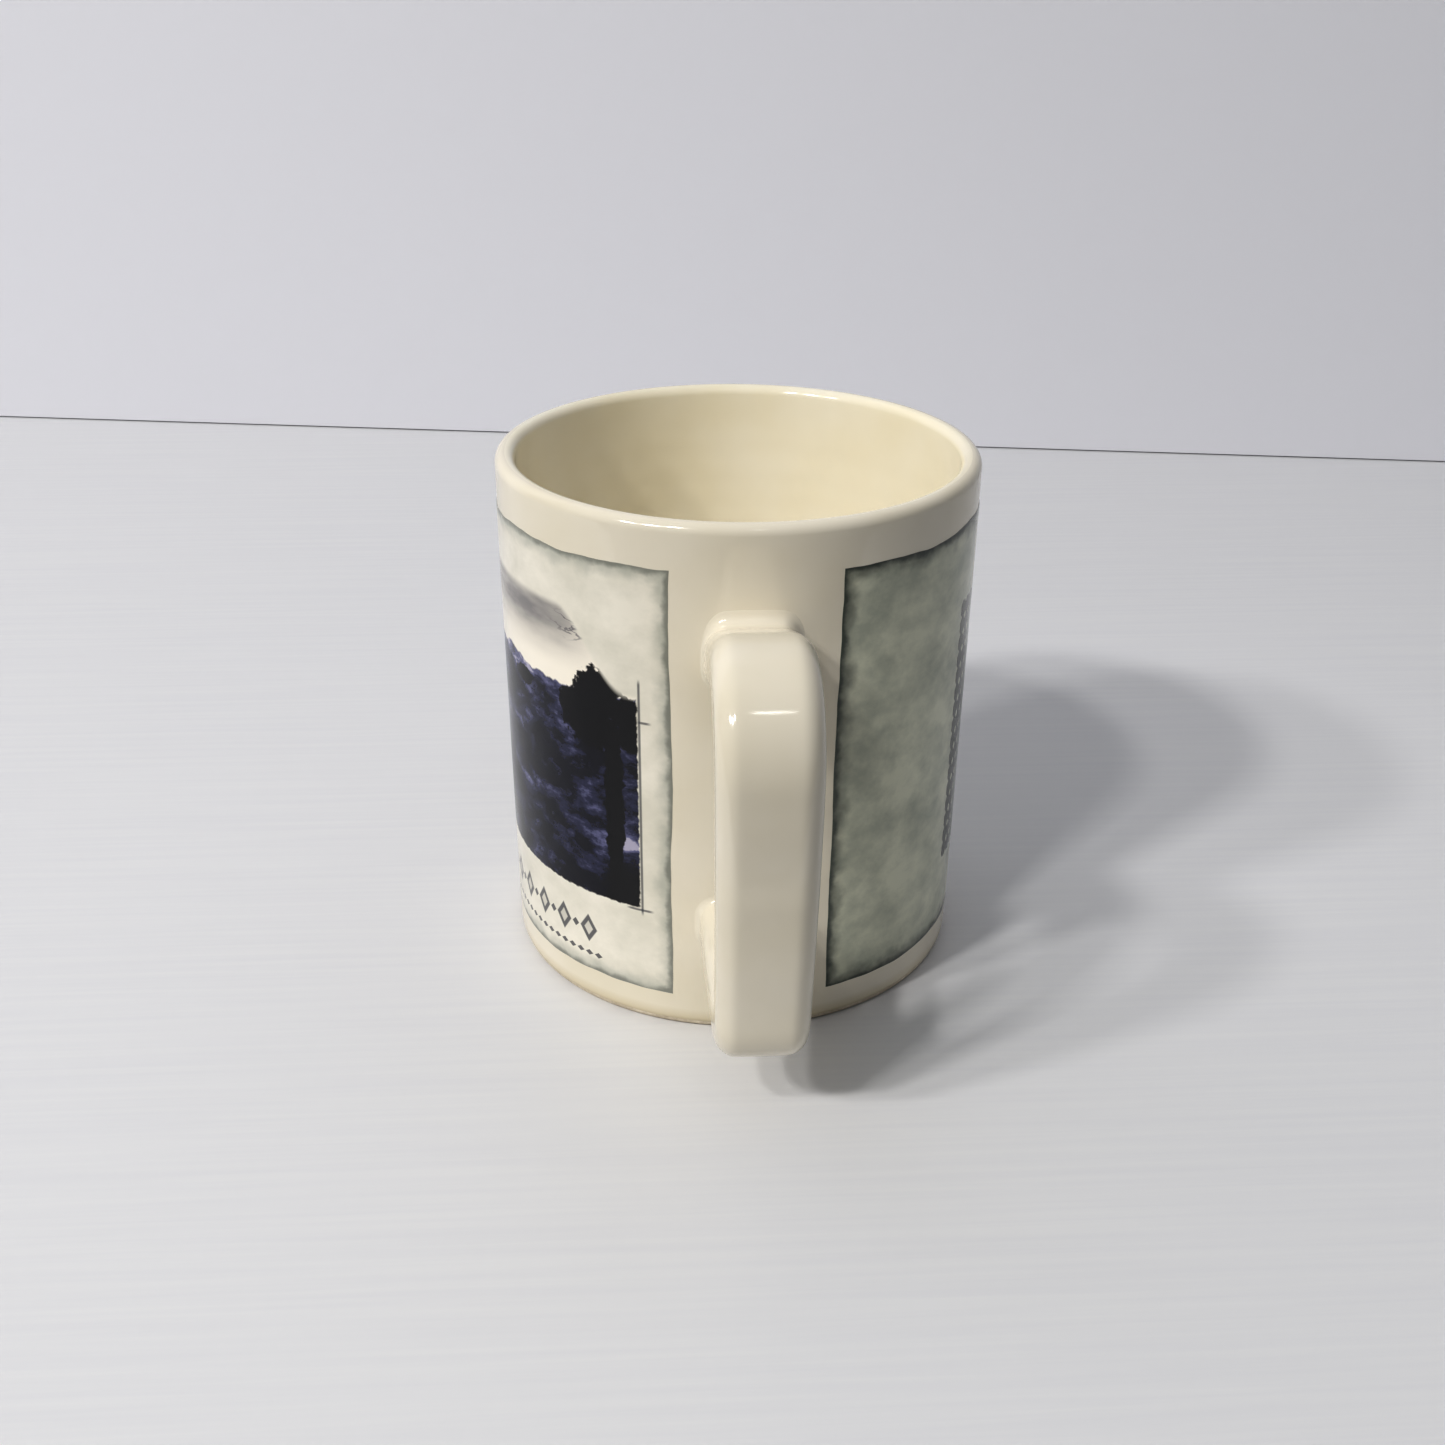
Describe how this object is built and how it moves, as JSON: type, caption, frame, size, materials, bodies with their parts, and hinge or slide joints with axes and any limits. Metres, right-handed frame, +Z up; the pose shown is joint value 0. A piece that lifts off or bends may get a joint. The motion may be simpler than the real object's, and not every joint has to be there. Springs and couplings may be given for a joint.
{
  "type": "ceramic mug",
  "caption": "Straight-sided glazed ceramic mug with an ear-shaped strap handle, a bare foot ring and printed landscape panels fired on to the glaze.",
  "frame": {"origin": "centre of the foot ring's resting plane, on the cup's axis", "axes": "+Z up the cup's axis, +X from the axis out along the handle, +Y to the right of the handle seen from outside, with the mug upright"},
  "size_m": [0.116, 0.082, 0.091],
  "materials": {
    "biscuit": "fired earthenware body, bare and matt at the foot ring",
    "slip": "fired luting slip, smoothed",
    "cream_glaze": "cream gloss glaze",
    "left_transfer": "printed enamel transfer, pale grey-green ground with an indigo picture",
    "right_transfer": "printed enamel transfer, mottled grey-green ground with an indigo picture"
  },
  "bodies": {
    "root": {"cup_body": "biscuit", "handle": "biscuit", "upper_slip_joint": "slip", "lower_slip_joint": "slip", "outer_glaze": "cream_glaze", "inner_glaze": "cream_glaze", "handle_glaze": "cream_glaze", "foot_recess_glaze": "cream_glaze", "left_panel_transfer": "left_transfer", "right_panel_transfer": "right_transfer"}
  },
  "joints": []
}
